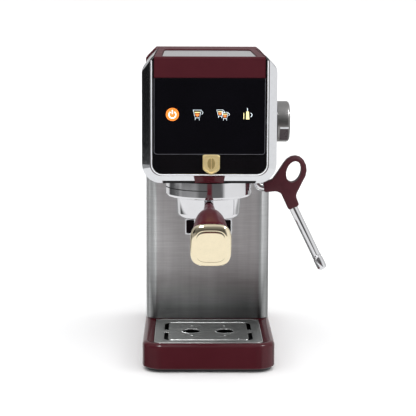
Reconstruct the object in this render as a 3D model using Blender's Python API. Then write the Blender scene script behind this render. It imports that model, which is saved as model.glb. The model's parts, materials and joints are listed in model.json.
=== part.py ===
"""Slim pump espresso machine, built as separate pieces in metres.

X runs across the machine from its mid-plane, Y runs back from the front face of
the base, Z runs up from a level a little above the base's lower edge.  The empty
"machine" carries that frame to the middle of the whole object's footprint, with
the feet on the worktop.
"""
import math

import bmesh
import bpy
from mathutils import Matrix, Vector

# Gap that two touching pieces keep.
GAP = 0.0003

# Base.
BASE_HALF = 0.0736
BASE_DEPTH = 0.300
BASE_CORNER = 0.022
BASE_UNDER = -0.0042
BASE_TOP = 0.0242
BASE_RIM = 0.0052
BASE_DISH = 0.0226
FOOT_RADIUS = 0.008
FOOT_UNDER = -0.0085
PLATE_UNDER = -0.0069

# Drip tray well in the base.
WELL_HALF = 0.061
WELL_FRONT = 0.008
WELL_REAR = 0.1195
WELL_CORNER = 0.0085
WELL_FLOOR = 0.008
GRID_UNDER = 0.0226
GRID_TOP = 0.0238
SLOT_X = 0.0474
SLOT_HALF = 0.0024
HOLE_X = 0.0193
HOLE_Y = 0.062

# Column.
COLUMN_HALF = 0.0725
COLUMN_FRONT = 0.121
COLUMN_CORNER = 0.013
COLUMN_SHEET = 0.0015

# Pump, standing inside the column.
PUMP_X = -0.020
PUMP_Y = 0.180

# Head.
HEAD_HALF = 0.0735
HEAD_UNDER = 0.2009
HEAD_CORNER = 0.021
HEAD_WALL = 0.0019
HEAD_REAR = 0.232
HEAD_TOP = 0.339
BEZEL_FRONT = 0.010
BEZEL_BACK = 0.0158
BEZEL_INSET = 0.0088
TOP_HALF = 0.0603
# The sloping shoulder of the head lies where |x| + z has this value.
SHOULDER_SUM = 0.4008
SHOULDER_BEND = 0.014

# Front panel.
GLASS_HALF = 0.0603
GLASS_FRONT = 0.009
GLASS_BOTTOM = 0.2333
GLASS_TOP = 0.3158
GLASS_CORNER = 0.003
FASCIA_HALF = 0.0617
FASCIA_BOTTOM = 0.2120
FASCIA_TOP = 0.3350
PANEL_CORNER = 0.0110
BADGE_X = 0.0020

# Cup warmer tray in the top.
CUP_HALF = 0.0525
CUP_FRONT = 0.021
CUP_REAR = 0.210
CUP_FLOOR = 0.3358

# Rear frame and water tank.
REAR_HALF = 0.0756
REAR_BACK = 0.244
REAR_SHOULDER_SUM = 0.4030
TANK_HALF = 0.0748
TANK_TOP = 0.3246
TANK_WALL = 0.0022
TANK_CORNER = 0.004
TANK_FLOOR = 0.037
LID_UNDER = 0.3260
LID_HINGE_Y = 0.2975
LID_HINGE_Z = 0.3285
OUTLET_Y = 0.272

# Brew group and portafilter.
GROUP_Y = 0.060
COLLAR_RADIUS = 0.0482
COLLAR_UNDER = 0.1819
BREW_RADIUS = 0.0385
BREW_UNDER = 0.1916
BOWL_RADIUS = 0.0366
BOWL_UNDER = 0.1572
HANDLE_START_Y = 0.026
HANDLE_START_Z = 0.1765
HANDLE_SLOPE = math.radians(11.3)
HANDLE_LENGTH = 0.118
# Distance along the handle and half width there.
HANDLE_SHAPE = (
    (0.0063, 0.0060),
    (0.0325, 0.0064),
    (0.0365, 0.0080),
    (0.0430, 0.0106),
    (0.0530, 0.0134),
    (0.0660, 0.0157),
    (0.0830, 0.0175),
    (0.1000, 0.0186),
    (0.1180, 0.0194),
)
CAP_HALF = 0.0214

# Steam side.
KNOB_Y = 0.070
KNOB_Z = 0.2640
KNOB_RADIUS = 0.0230
KNOB_END = 0.0904
FACET_FALL = math.radians(38)
WAND_X = 0.056
WAND_Y = 0.070
TUBE_RADIUS = 0.0050
WAND_FALL = math.radians(63.9)
NOZZLE_X = 0.1233
NOZZLE_Z = 0.1110
GRIP_HALF = 0.0068
LOOP_X = 0.0961
LOOP_Z = 0.2073

# Middle of the whole footprint, in the machine's frame.
MIDDLE_X = 0.029699
MIDDLE_Y = 0.10192

for item in list(bpy.data.objects):
    bpy.data.objects.remove(item, do_unlink=True)


def paint(name, colour, roughness, metallic):
    """A Principled material."""
    material = bpy.data.materials.new(name)
    material.use_nodes = True
    shader = material.node_tree.nodes["Principled BSDF"]
    shader.inputs["Base Color"].default_value = (*colour, 1.0)
    shader.inputs["Roughness"].default_value = roughness
    shader.inputs["Metallic"].default_value = metallic
    return material


BURGUNDY = paint("burgundy_gloss", (0.068, 0.010, 0.016), 0.15, 0.0)
SILVER = paint("satin_chrome", (0.66, 0.68, 0.70), 0.28, 1.0)
BRUSHED = paint("brushed_steel", (0.50, 0.50, 0.50), 0.35, 1.0)
CHROME = paint("chrome", (0.78, 0.78, 0.80), 0.08, 1.0)
GOLD = paint("champagne_gold", (0.85, 0.74, 0.50), 0.12, 1.0)
GLASS = paint("black_glass", (0.005, 0.005, 0.006), 0.04, 0.0)
BLACK = paint("black_plastic", (0.012, 0.012, 0.013), 0.35, 0.0)
RUBBER = paint("black_rubber", (0.02, 0.02, 0.02), 0.85, 0.0)
SILICONE = paint("burgundy_silicone", (0.085, 0.014, 0.022), 0.45, 0.0)
ALUMINIUM = paint("cast_aluminium", (0.55, 0.56, 0.57), 0.45, 1.0)
BRASS = paint("brass", (0.62, 0.44, 0.16), 0.30, 1.0)
STEEL = paint("zinc_steel", (0.55, 0.56, 0.58), 0.40, 1.0)
SMOKED = paint("smoked_plastic", (0.16, 0.15, 0.16), 0.10, 0.0)
BOARD = paint("circuit_board", (0.02, 0.12, 0.05), 0.50, 0.0)
HOSE = paint("silicone_hose", (0.70, 0.70, 0.68), 0.40, 0.0)


def empty(name, place, parent=None):
    """A frame that moving pieces hang on, placed in the machine's frame."""
    frame = bpy.data.objects.new(name, None)
    bpy.context.collection.objects.link(frame)
    frame.parent = parent
    frame.location = place
    return frame


MACHINE = empty("machine", (-MIDDLE_X, -MIDDLE_Y, -FOOT_UNDER))
TRAY_PIVOT = empty("tray_pivot", (0.0, GROUP_Y, WELL_FLOOR), MACHINE)
TANK_PIVOT = empty("tank_pivot", (0.0, OUTLET_Y, BASE_TOP), MACHINE)
LID_PIVOT = empty("lid_pivot", (0.0, LID_HINGE_Y, LID_HINGE_Z), MACHINE)
KNOB_PIVOT = empty("knob_pivot", (HEAD_HALF, KNOB_Y, KNOB_Z), MACHINE)
WAND_PIVOT = empty("wand_pivot", (WAND_X, WAND_Y, HEAD_UNDER), MACHINE)
GROUP_PIVOT = empty("group_pivot", (0.0, GROUP_Y, BREW_UNDER), MACHINE)


def piece(name, shape, material, pivot=MACHINE):
    """An object from a bmesh drawn in the machine's frame, with its origin on its pivot."""
    if pivot is not MACHINE:
        bmesh.ops.translate(shape, verts=shape.verts, vec=-pivot.location)
    bmesh.ops.recalc_face_normals(shape, faces=shape.faces)
    mesh = bpy.data.meshes.new(name)
    shape.to_mesh(mesh)
    shape.free()
    mesh.materials.append(material)
    mesh.shade_smooth()
    mesh.set_sharp_from_angle(angle=math.radians(35))
    made = bpy.data.objects.new(name, mesh)
    bpy.context.collection.objects.link(made)
    made.parent = pivot
    return made


def loft(loops, ring=False):
    """Skin equal loops of points; the ends are capped, or joined to each other in a ring."""
    shape = bmesh.new()
    rows = [[shape.verts.new(point) for point in loop] for loop in loops]
    pairs = list(zip(rows, rows[1:]))
    if ring:
        pairs.append((rows[-1], rows[0]))
    else:
        shape.faces.new(rows[0])
        shape.faces.new(rows[-1])
    count = len(rows[0])
    for low, high in pairs:
        for i in range(count):
            j = (i + 1) % count
            shape.faces.new((low[i], low[j], high[j], high[i]))
    return shape


def prism(outline, axis, start, end):
    """Extrude an outline along X, Y or Z; it lists the other two coordinates in order."""
    place = {
        "x": lambda u, v, t: (t, u, v),
        "y": lambda u, v, t: (u, t, v),
        "z": lambda u, v, t: (u, v, t),
    }[axis]
    return loft([[place(u, v, t) for u, v in outline] for t in (start, end)])


def box(low, high):
    """A plain block between two corners."""
    outline = [(low[0], low[1]), (high[0], low[1]), (high[0], high[1]), (low[0], high[1])]
    return prism(outline, "z", low[2], high[2])


def arc(cx, cy, radius, start, end, steps):
    """Points on an arc between two angles in degrees, ends included."""
    angles = [math.radians(start + (end - start) * i / steps) for i in range(steps + 1)]
    return [(cx + radius * math.cos(a), cy + radius * math.sin(a)) for a in angles]


def round_rect(x0, x1, y0, y1, radius, steps=5):
    """A rectangle with rounded corners."""
    outline = arc(x1 - radius, y1 - radius, radius, 0, 90, steps)
    outline += arc(x0 + radius, y1 - radius, radius, 90, 180, steps)
    outline += arc(x0 + radius, y0 + radius, radius, 180, 270, steps)
    outline += arc(x1 - radius, y0 + radius, radius, 270, 360, steps)
    return outline


def panel_outline(half, low, high, radius):
    """A panel with two square corners at its high end and two rounded ones at its low end."""
    outline = [(half, high), (-half, high)]
    outline += arc(-half + radius, low + radius, radius, 180, 270, 6)
    outline += arc(half - radius, low + radius, radius, 270, 360, 6)
    return outline


def turned(profile, base, direction, sides=32):
    """Turn (radius, height) points about a direction; a profile off the axis closes on itself."""
    turn = Vector((0, 0, 1)).rotation_difference(Vector(direction)).to_matrix().to_4x4()
    shape = bmesh.new()
    rows = []
    for radius, height in profile:
        if radius == 0:
            rows.append([shape.verts.new((0, 0, height))] * sides)
            continue
        circle = [2 * math.pi * i / sides for i in range(sides)]
        rows.append([shape.verts.new((radius * math.cos(a), radius * math.sin(a), height))
                     for a in circle])
    closed = profile[0][0] > 0
    pairs = list(zip(rows, rows[1:])) + ([(rows[-1], rows[0])] if closed else [])
    for low, high in pairs:
        for i in range(sides):
            j = (i + 1) % sides
            corners = list(dict.fromkeys((low[i], low[j], high[j], high[i])))
            shape.faces.new(corners)
    bmesh.ops.transform(shape, matrix=Matrix.Translation(base) @ turn, verts=shape.verts)
    return shape


def smooth_path(knots, steps):
    """Points along a smooth curve through the knots."""
    ends = [2 * knots[0] - knots[1]] + knots + [2 * knots[-1] - knots[-2]]
    path = []
    for a, b, c, d in zip(ends, ends[1:], ends[2:], ends[3:]):
        for i in range(steps):
            t = i / steps
            path.append(0.5 * ((2 * b) + (c - a) * t + (2 * a - 5 * b + 4 * c - d) * t ** 2
                               + (3 * b - a - 3 * c + d) * t ** 3))
    path.append(knots[-1])
    return path


def swept(path, radius, sides=12):
    """A round bar along a path."""
    side = Vector((0, 1, 0))
    loops = []
    for i, point in enumerate(path):
        ahead = (path[min(i + 1, len(path) - 1)] - path[max(i - 1, 0)]).normalized()
        side = (side - ahead * side.dot(ahead)).normalized()
        across = ahead.cross(side)
        turns = [2 * math.pi * k / sides for k in range(sides)]
        loops.append([point + radius * (math.cos(a) * side + math.sin(a) * across) for a in turns])
    return loft(loops)


def soften(made, width, segments=2):
    """Round the sharp edges of a piece."""
    bevel = made.modifiers.new("edge", "BEVEL")
    bevel.width = width
    bevel.segments = segments
    bevel.limit_method = "ANGLE"
    bevel.angle_limit = math.radians(40)
    return made


def combine(made, other, operation):
    """Cut a tool out of a piece, or weld it on."""
    other.hide_render = True
    other.display_type = "WIRE"
    modifier = made.modifiers.new(other.name, "BOOLEAN")
    modifier.operation = operation
    modifier.object = other
    modifier.solver = "EXACT"


def cut(made, shape, label, pivot=MACHINE):
    """Cut a shape out of a piece."""
    combine(made, piece(made.name + "_" + label, shape, BLACK, pivot), "DIFFERENCE")


def weld(made, shape, label, pivot=MACHINE):
    """Weld a shape onto a piece."""
    combine(made, piece(made.name + "_" + label, shape, BLACK, pivot), "UNION")


# ---------------------------------------------------------------- base

FOOT_PLACES = {
    "foot_front_left": (-0.052, 0.030),
    "foot_front_right": (0.052, 0.030),
    "foot_rear_left": (-0.052, 0.270),
    "foot_rear_right": (0.052, 0.270),
}
SCREW_PLACES = {
    "base_screw_1": (-0.060, 0.130),
    "base_screw_2": (0.060, 0.130),
    "base_screw_3": (-0.030, 0.285),
    "base_screw_4": (0.030, 0.285),
}


def base_outline(inset, height):
    """The base's plan outline, inset by a distance, at a height."""
    half = BASE_HALF - inset
    flat = round_rect(-half, half, inset, BASE_DEPTH - inset, BASE_CORNER - inset, 8)
    return [(x, y, height) for x, y in flat]


def well_outline(inset):
    """The tray well's plan outline, moved in by a distance."""
    return panel_outline(WELL_HALF - inset, WELL_FRONT + inset, WELL_REAR - inset, WELL_CORNER - inset)


def make_base():
    """Glossy base shell with a raised rim, the tray's well and a space below the column."""
    loops = [base_outline(0.0007, BASE_UNDER), base_outline(0.0, BASE_UNDER + 0.0007)]
    for inset, rise in arc(BASE_RIM, 0.0, BASE_RIM, 180, 90, 5):
        loops.append(base_outline(inset, BASE_TOP - BASE_RIM + rise))
    base = piece("base_housing", loft(loops), BURGUNDY)
    crest = panel_outline(BASE_HALF - BASE_RIM, BASE_RIM, WELL_REAR, BASE_CORNER - BASE_RIM)
    levels = ((well_outline(0.0), WELL_FLOOR), (well_outline(0.0), BASE_DISH), (crest, BASE_TOP),
              (crest, BASE_TOP + 0.01))
    well = [[(x, y, height) for x, y in outline] for outline, height in levels]
    cut(base, loft(well), "well")
    half = BASE_HALF - 0.0045
    space = round_rect(-half, half, WELL_REAR + 0.004, BASE_DEPTH - 0.0045, BASE_CORNER - 0.0045, 5)
    cut(base, prism(space, "z", -0.01, BASE_TOP - 0.003), "rear_space")
    for label, x, y in (("pump", PUMP_X, PUMP_Y), ("tank", 0.0, OUTLET_Y)):
        hole = [(0, 0.018), (0.0045, 0.018), (0.0045, 0.03), (0, 0.03)]
        cut(base, turned(hole, (x, y, 0), (0, 0, 1), 16), label + "_hose_hole")


def make_bottom_plate():
    """Black plate under the base, with holes for the feet and the screws."""
    outline = base_outline(0.003, 0.0)
    flat = [(x, y) for x, y, height in outline]
    plate = piece("bottom_plate", prism(flat, "z", PLATE_UNDER, BASE_UNDER - GAP), BLACK)
    holes = [(place, FOOT_RADIUS + GAP) for place in FOOT_PLACES.values()]
    holes += [(place, 0.0035 + GAP) for place in SCREW_PLACES.values()]
    for number, ((x, y), radius) in enumerate(holes):
        drill = [(0, -0.012), (radius, -0.012), (radius, 0.002), (0, 0.002)]
        cut(plate, turned(drill, (x, y, 0), (0, 0, 1), 16), "hole_" + str(number))


def make_feet_and_screws():
    """Rubber feet and pan screws, seated in the bottom plate's holes."""
    for name, (x, y) in FOOT_PLACES.items():
        outline = [(0, FOOT_UNDER), (FOOT_RADIUS - 0.0006, FOOT_UNDER),
                   (FOOT_RADIUS, FOOT_UNDER + 0.0006), (FOOT_RADIUS, BASE_UNDER - GAP),
                   (0, BASE_UNDER - GAP)]
        piece(name, turned(outline, (x, y, 0), (0, 0, 1), 16), RUBBER)
    for name, (x, y) in SCREW_PLACES.items():
        outline = [(0, PLATE_UNDER + 0.0004), (0.0028, PLATE_UNDER + 0.0004),
                   (0.0035, PLATE_UNDER + 0.0009), (0.0035, BASE_UNDER - GAP), (0, BASE_UNDER - GAP)]
        piece(name, turned(outline, (x, y, 0), (0, 0, 1), 16), STEEL)


def make_drip_tray():
    """Deep tray that drops into the base's well."""
    rim = GRID_UNDER - GAP
    levels = ((0.0019, WELL_FLOOR + GAP), (0.0004, 0.0105), (0.0004, rim), (0.0022, rim),
              (0.0022, 0.0115), (0.0034, 0.0101))
    loops = [[(x, y, height) for x, y in well_outline(inset)] for inset, height in levels]
    piece("drip_tray", loft(loops), BLACK, TRAY_PIVOT)


def slot_outline(side, end):
    """A drain slot that runs away from the middle and turns inwards at its end."""
    bend = 0.0080
    straight = 0.0325
    path = [(SLOT_X + SLOT_HALF, 0.006)]
    path += arc(SLOT_X - bend, straight, bend + SLOT_HALF, 0, 55, 5)
    path += arc(SLOT_X - bend, straight, bend - SLOT_HALF, 55, 0, 5)
    path.append((SLOT_X - SLOT_HALF, 0.006))
    return [(side * x, HOLE_Y + end * y) for x, y in path]


def make_drip_grid():
    """Stainless grid with two drain holes and four slots."""
    grid = piece("drip_grid", prism(well_outline(0.0006), "z", GRID_UNDER, GRID_TOP), BRUSHED, TRAY_PIVOT)
    for side in (-1, 1):
        hole = turned([(0, 0.02), (0.010, 0.02), (0.010, 0.03), (0, 0.03)],
                      (side * HOLE_X, HOLE_Y, 0), (0, 0, 1), 24)
        cut(grid, hole, "hole_" + str(side + 1), TRAY_PIVOT)
        for end in (-1, 1):
            slot = prism(slot_outline(side, end), "z", 0.02, 0.03)
            cut(grid, slot, "slot_" + str(side + 1) + str(end + 1), TRAY_PIVOT)


def make_cord_gland():
    """Ring in the base's rear face where the mains lead goes in."""
    outline = [(0.0036, 0), (0.0075, 0), (0.0075, 0.0035), (0.0060, 0.0060), (0.0036, 0.0060)]
    piece("cord_gland", turned(outline, (-0.045, BASE_DEPTH + GAP, 0.0150), (0, 1, 0), 20), BLACK)


# ---------------------------------------------------------------- column and inside

def make_column():
    """Brushed steel wrap, bent in a U that is open to the rear."""
    def bend(inset):
        half = COLUMN_HALF - inset
        front = COLUMN_FRONT + inset
        radius = COLUMN_CORNER - inset
        path = [(half, HEAD_REAR)]
        path += arc(half - radius, front + radius, radius, 0, -90, 7)
        path += arc(-half + radius, front + radius, radius, -90, -180, 7)
        path.append((-half, HEAD_REAR))
        return path
    outline = bend(0.0) + bend(COLUMN_SHEET)[::-1]
    top = HEAD_UNDER + HEAD_CORNER
    column = piece("column_wrap", prism(outline, "z", BASE_TOP + GAP, top), BRUSHED)
    head = [(x, z) for x, y, z in head_path(HEAD_HALF, HEAD_UNDER, HEAD_CORNER, SHOULDER_BEND, -GAP)]
    cut(column, prism(head, "y", BEZEL_BACK, HEAD_REAR + 0.01), "head_seat")


def make_inner_frame():
    """Folded steel frame that carries the pump and the board."""
    outline = [(0.062, 0.185), (0.062, 0.2285), (-0.062, 0.2285), (-0.062, 0.185),
               (-0.0605, 0.185), (-0.0605, 0.2270), (0.0605, 0.2270), (0.0605, 0.185)]
    piece("inner_frame", prism(outline, "z", BASE_TOP + GAP, HEAD_UNDER - 0.002), STEEL)


def make_pump():
    """Vibration pump with its coil, held upright in two rubber mounts."""
    x, y = PUMP_X, PUMP_Y
    body = [(0, 0.040), (0.004, 0.040), (0.004, 0.050), (0.010, 0.052), (0.010, 0.140),
            (0.005, 0.143), (0.005, 0.152), (0, 0.152)]
    piece("pump_body", turned(body, (x, y, 0), (0, 0, 1), 20), BRASS)
    coil = [(0.010 + GAP, 0.072), (0.022, 0.072), (0.022, 0.118), (0.010 + GAP, 0.118)]
    piece("pump_coil", turned(coil, (x, y, 0), (0, 0, 1), 24), BLACK)
    for name, low in (("pump_mount_lower", 0.056), ("pump_mount_upper", 0.124)):
        mount = piece(name, box((x - 0.018, y - 0.016, low), (x + 0.018, 0.2270 - GAP, low + 0.010)),
                      RUBBER)
        ring = [(0, low - 0.01), (0.010 + GAP, low - 0.01), (0.010 + GAP, low + 0.02), (0, low + 0.02)]
        cut(mount, turned(ring, (x, y, 0), (0, 0, 1), 20), "bore")


def make_main_board():
    """Power board on the frame's right side."""
    piece("main_board", box((0.0565, 0.150, 0.050), (0.0581, 0.222, 0.165)), BOARD)


def make_hoses():
    """Suction hose from the tank's seat to the pump, and pressure hose to the heater."""
    suction = [Vector((0.0, OUTLET_Y, 0.0269)), Vector((0.0, OUTLET_Y, 0.0200)),
               Vector((-0.003, 0.262, 0.0125)), Vector((-0.010, 0.226, 0.0110)), Vector((-0.018, 0.189, 0.0125)),
               Vector((PUMP_X, PUMP_Y, 0.0200)), Vector((PUMP_X, PUMP_Y, 0.0396))]
    piece("suction_hose", swept(smooth_path(suction, 4), 0.0030, 8), HOSE)
    pressure = [Vector((PUMP_X, PUMP_Y, 0.1524)), Vector((PUMP_X, 0.178, 0.175)),
                Vector((-0.012, 0.172, 0.215)), Vector((0.0, 0.160, 0.240)), Vector((0.0, 0.135, 0.246)),
                Vector((0.0, 0.1083, 0.246))]
    piece("pressure_hose", swept(smooth_path(pressure, 5), 0.0030, 8), HOSE)


def make_heater():
    """Heated block over the group."""
    block = piece("thermoblock", box((-0.040, 0.028, 0.2218), (0.040, 0.108, 0.264)), ALUMINIUM)
    soften(block, 0.004)


# ---------------------------------------------------------------- head

def head_path(half, under, corner, bend, inset, y=0.0):
    """The head's U outline, from shoulder to shoulder, moved in by a distance."""
    side = half - inset
    low = under + inset
    corner -= inset
    bend -= inset
    total = SHOULDER_SUM - inset * math.sqrt(2)
    edge = TOP_HALF + GAP
    shoulder = total - side - bend * math.tan(math.pi / 8)
    run = [(edge, total - edge)]
    run += arc(side - bend, shoulder, bend, 45, 0, 4)
    run += arc(side - corner, low + corner, corner, 0, -90, 7)
    run += arc(-side + corner, low + corner, corner, -90, -180, 7)
    run += arc(-side + bend, shoulder, bend, 180, 135, 4)
    run += [(-edge, total - edge)]
    return [(x, y, z) for x, z in run]


def head_section(half, under, corner, bend, y):
    """The head shell's wall in section, open at the top between its sloping shoulders."""
    outer = head_path(half, under, corner, bend, 0.0, y)
    return outer + head_path(half, under, corner, bend, HEAD_WALL, y)[::-1]


def make_head_shell():
    """Satin shell of the head, with a conical bezel round the front panel."""
    front = (HEAD_HALF - BEZEL_INSET, HEAD_UNDER + BEZEL_INSET, HEAD_CORNER - BEZEL_INSET, 0.005)
    back = (HEAD_HALF, HEAD_UNDER, HEAD_CORNER, SHOULDER_BEND)
    loops = [
        head_section(*front, BEZEL_FRONT),
        head_section(*back, BEZEL_BACK),
        head_section(*back, HEAD_REAR),
    ]
    shell = piece("head_shell", loft(loops), SILVER)
    group = [(0, 0.19), (0.0415, 0.19), (0.0415, 0.21), (0, 0.21)]
    cut(shell, turned(group, (0, GROUP_Y, 0), (0, 0, 1), 32), "group_hole")
    steam = [(0, 0.19), (0.006, 0.19), (0.006, 0.21), (0, 0.21)]
    cut(shell, turned(steam, (WAND_X, WAND_Y, 0), (0, 0, 1), 16), "steam_hole")
    spindle = [(0, 0), (0.0045, 0), (0.0045, 0.01), (0, 0.01)]
    cut(shell, turned(spindle, (HEAD_HALF - 0.005, KNOB_Y, KNOB_Z), (1, 0, 0), 16), "knob_hole")
    cut(shell, box((-0.050, 0.145, 0.19), (0.050, 0.215, 0.21)), "column_opening")
    cut(shell, box((-0.0512, 0.0, 0.19), (0.0512, 0.028, HEAD_UNDER + 0.0029)), "front_notch")


def make_top_frame():
    """Burgundy top and upper front band, with a well for the cup tray."""
    low = GLASS_TOP + GAP
    profile = [(BEZEL_FRONT, low), (BEZEL_FRONT, HEAD_TOP - 0.0016), (BEZEL_FRONT + 0.0016, HEAD_TOP),
               (HEAD_REAR, HEAD_TOP), (HEAD_REAR, 0.3320), (0.0165, 0.3320), (0.0165, low)]
    frame = piece("top_frame", prism(profile, "x", -TOP_HALF, TOP_HALF), BURGUNDY)
    well = round_rect(-CUP_HALF, CUP_HALF, CUP_FRONT, CUP_REAR, 0.009, 5)
    cut(frame, prism(well, "z", CUP_FLOOR, HEAD_TOP + 0.01), "cup_well")


def make_cup_tray():
    """Stainless plate that warms the cups."""
    flat = round_rect(-CUP_HALF + GAP, CUP_HALF - GAP, CUP_FRONT + GAP, CUP_REAR - GAP, 0.0087, 5)
    piece("cup_tray", prism(flat, "z", CUP_FLOOR + GAP, CUP_FLOOR + 0.0017), BRUSHED)


def make_front_panel():
    """Glass, the black fascia round it, their carrier and the touch board behind them."""
    back = GLASS_FRONT + 0.004
    glass = panel_outline(GLASS_HALF, GLASS_BOTTOM, GLASS_TOP, GLASS_CORNER)
    piece("display_glass", prism(glass, "y", GLASS_FRONT, back), GLASS)
    frame = panel_outline(FASCIA_HALF, FASCIA_BOTTOM, FASCIA_TOP, PANEL_CORNER)
    fascia = piece("lower_fascia", prism(frame, "y", BEZEL_FRONT, back), BLACK)
    opening = panel_outline(GLASS_HALF + GAP, GLASS_BOTTOM - GAP, FASCIA_TOP + 0.01, GLASS_CORNER + GAP)
    cut(fascia, prism(opening, "y", BEZEL_FRONT - 0.01, back + 0.01), "glass_opening")
    carrier = panel_outline(TOP_HALF, FASCIA_BOTTOM, GLASS_TOP, PANEL_CORNER)
    piece("panel_carrier", prism(carrier, "y", back + GAP, back + 0.0033), BLACK)
    piece("touch_board", box((-0.055, back + 0.0036, 0.262), (0.055, back + 0.0052, 0.292)), BOARD)


def make_badge():
    """Plain shield, pointed at the bottom."""
    half = 0.0093
    top = GLASS_BOTTOM - GAP
    outline = [(half, top), (-half, top), (-half, 0.2168), (-0.0060, 0.2137), (0, 0.2114),
               (0.0060, 0.2137), (half, 0.2168)]
    outline = [(BADGE_X + x, z) for x, z in outline]
    piece("badge", prism(outline, "y", BEZEL_FRONT - 0.0028, BEZEL_FRONT - GAP), GOLD)


def make_bezel_insert():
    """Burgundy tongue lying on the bezel's lower slope."""
    run = Vector((0, BEZEL_BACK - BEZEL_FRONT, -BEZEL_INSET))
    lift = Vector((0, -BEZEL_INSET, -(BEZEL_BACK - BEZEL_FRONT))).normalized()
    start = Vector((0, BEZEL_FRONT, HEAD_UNDER + BEZEL_INSET))
    corners = ((-0.0170, 0.02), (0.0170, 0.02), (0.0155, 0.92), (-0.0155, 0.92))
    loops = []
    for height in (GAP, 0.0011):
        loops.append([start + run * along + lift * height + Vector((x, 0, 0)) for x, along in corners])
    piece("bezel_insert", loft(loops), BURGUNDY)


# ---------------------------------------------------------------- brew group

def make_group():
    """Collar, brew head, gasket, shower screen and its screw, all on the group's axis."""
    centre = (0, GROUP_Y, 0)
    top = HEAD_UNDER - GAP
    collar = [(COLLAR_RADIUS, top), (COLLAR_RADIUS, COLLAR_UNDER + 0.003),
              (COLLAR_RADIUS - 0.0008, COLLAR_UNDER + 0.0008), (COLLAR_RADIUS - 0.0022, COLLAR_UNDER),
              (0.0448, COLLAR_UNDER), (0.0440, COLLAR_UNDER + 0.001), (0.0440, top - 0.0025),
              (BREW_RADIUS + GAP, top - 0.0025), (BREW_RADIUS + GAP, top)]
    piece("group_collar", turned(collar, centre, (0, 0, 1), 48), CHROME)
    brew = [(0, BREW_UNDER), (BREW_RADIUS, BREW_UNDER), (BREW_RADIUS, 0.2215), (0, 0.2215)]
    piece("brew_head", turned(brew, centre, (0, 0, 1), 32), BRASS)
    low = 0.1883
    gasket = [(0.0290, low), (0.0355, low), (0.0355, BREW_UNDER - GAP), (0.0290, BREW_UNDER - GAP)]
    piece("group_gasket", turned(gasket, centre, (0, 0, 1), 32), RUBBER)
    screen = [(0, 0.1900), (0.0265, 0.1900), (0.0285, BREW_UNDER - GAP), (0, BREW_UNDER - GAP)]
    piece("shower_screen", turned(screen, centre, (0, 0, 1), 32), BRUSHED)
    screw = [(0, 0.1882), (0.0036, 0.1886), (0.0040, 0.1897), (0, 0.1897)]
    piece("screen_screw", turned(screw, centre, (0, 0, 1), 16), STEEL)


def along_handle(distance):
    """A point on the handle's axis, measured from the bowl."""
    reach = Vector((0, -math.cos(HANDLE_SLOPE), -math.sin(HANDLE_SLOPE)))
    return Vector((0, HANDLE_START_Y, HANDLE_START_Z)) + reach * distance


def make_portafilter():
    """Chrome bowl with two lugs, a drain and the stub that the handle screws onto."""
    centre = (0, GROUP_Y, 0)
    bowl = [(0.004, BOWL_UNDER)]
    bowl += arc(BOWL_RADIUS - 0.0075, BOWL_UNDER + 0.006, 0.006, 270, 355, 5)
    bowl += [(BOWL_RADIUS, 0.1815), (0.0372, 0.1825), (0.0372, 0.1870), (0.0312, 0.1870),
             (0.0312, 0.1620), (0.004, 0.1590)]
    body = piece("portafilter_body", turned(bowl, centre, (0, 0, 1), 40), CHROME, GROUP_PIVOT)
    for side in (-1, 1):
        inner, outer = sorted((side * 0.0345, side * 0.0415))
        lug = box((inner, GROUP_Y - 0.010, 0.1826), (outer, GROUP_Y + 0.010, 0.1864))
        weld(body, lug, "lug_" + str(side + 1), GROUP_PIVOT)
    stub = [(0, -0.0014), (0.0050, -0.0014), (0.0050, 0.0060), (0, 0.0060)]
    reach = along_handle(1.0) - along_handle(0.0)
    weld(body, turned(stub, along_handle(0.0), reach, 16), "stub", GROUP_PIVOT)
    basket = [(0, 0.1640), (0.0290, 0.1640), (0.0304, 0.1660), (0.0304, 0.1873), (0.0360, 0.1873),
              (0.0360, 0.1880), (0.0296, 0.1880), (0.0296, 0.1665), (0.0288, 0.1648), (0, 0.1648)]
    piece("filter_basket", turned(basket, centre, (0, 0, 1), 32), BRUSHED, GROUP_PIVOT)


def make_spout():
    """Twin spout under the bowl: a square bridge with a leg at each end."""
    top = BOWL_UNDER - GAP
    right = [(0.0262, top), (0.0262, 0.1372), (0.0150, 0.1372), (0.0150, 0.1445), (0.0, 0.1470)]
    left = [(-x, z) for x, z in right[-2::-1]]
    spout = piece("spout", prism(right + left, "y", GROUP_Y - 0.008, GROUP_Y + 0.008), CHROME, GROUP_PIVOT)
    soften(spout, 0.0008, 1)


def handle_loop(distance, half, squareness, count=28):
    """A rounded section across the handle: round at squareness 2, squarer above it."""
    up = Vector((0, math.sin(HANDLE_SLOPE), -math.cos(HANDLE_SLOPE)))
    loop = []
    for i in range(count):
        angle = 2 * math.pi * i / count
        across = math.copysign(abs(math.cos(angle)) ** (2 / squareness), math.cos(angle))
        rise = math.copysign(abs(math.sin(angle)) ** (2 / squareness), math.sin(angle))
        loop.append(along_handle(distance) + Vector((half * across, 0, 0)) + up * (half * rise))
    return loop


def make_handle():
    """Burgundy handle: a thin neck, a round shoulder and a square body with a gold cap."""
    loops = []
    for distance, half in HANDLE_SHAPE:
        loops.append(handle_loop(distance, half, 2 + 1.6 * distance / HANDLE_LENGTH))
    piece("handle", loft(loops), BURGUNDY, GROUP_PIVOT)
    steps = ((GAP, 0.0198), (0.0022, CAP_HALF), (0.0060, CAP_HALF), (0.0085, 0.0202),
             (0.0095, 0.0172), (0.0100, 0.0150))
    cap = [handle_loop(HANDLE_LENGTH + along, half, 3.6) for along, half in steps]
    piece("handle_cap", loft(cap), GOLD, GROUP_PIVOT)


# ---------------------------------------------------------------- steam side

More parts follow.
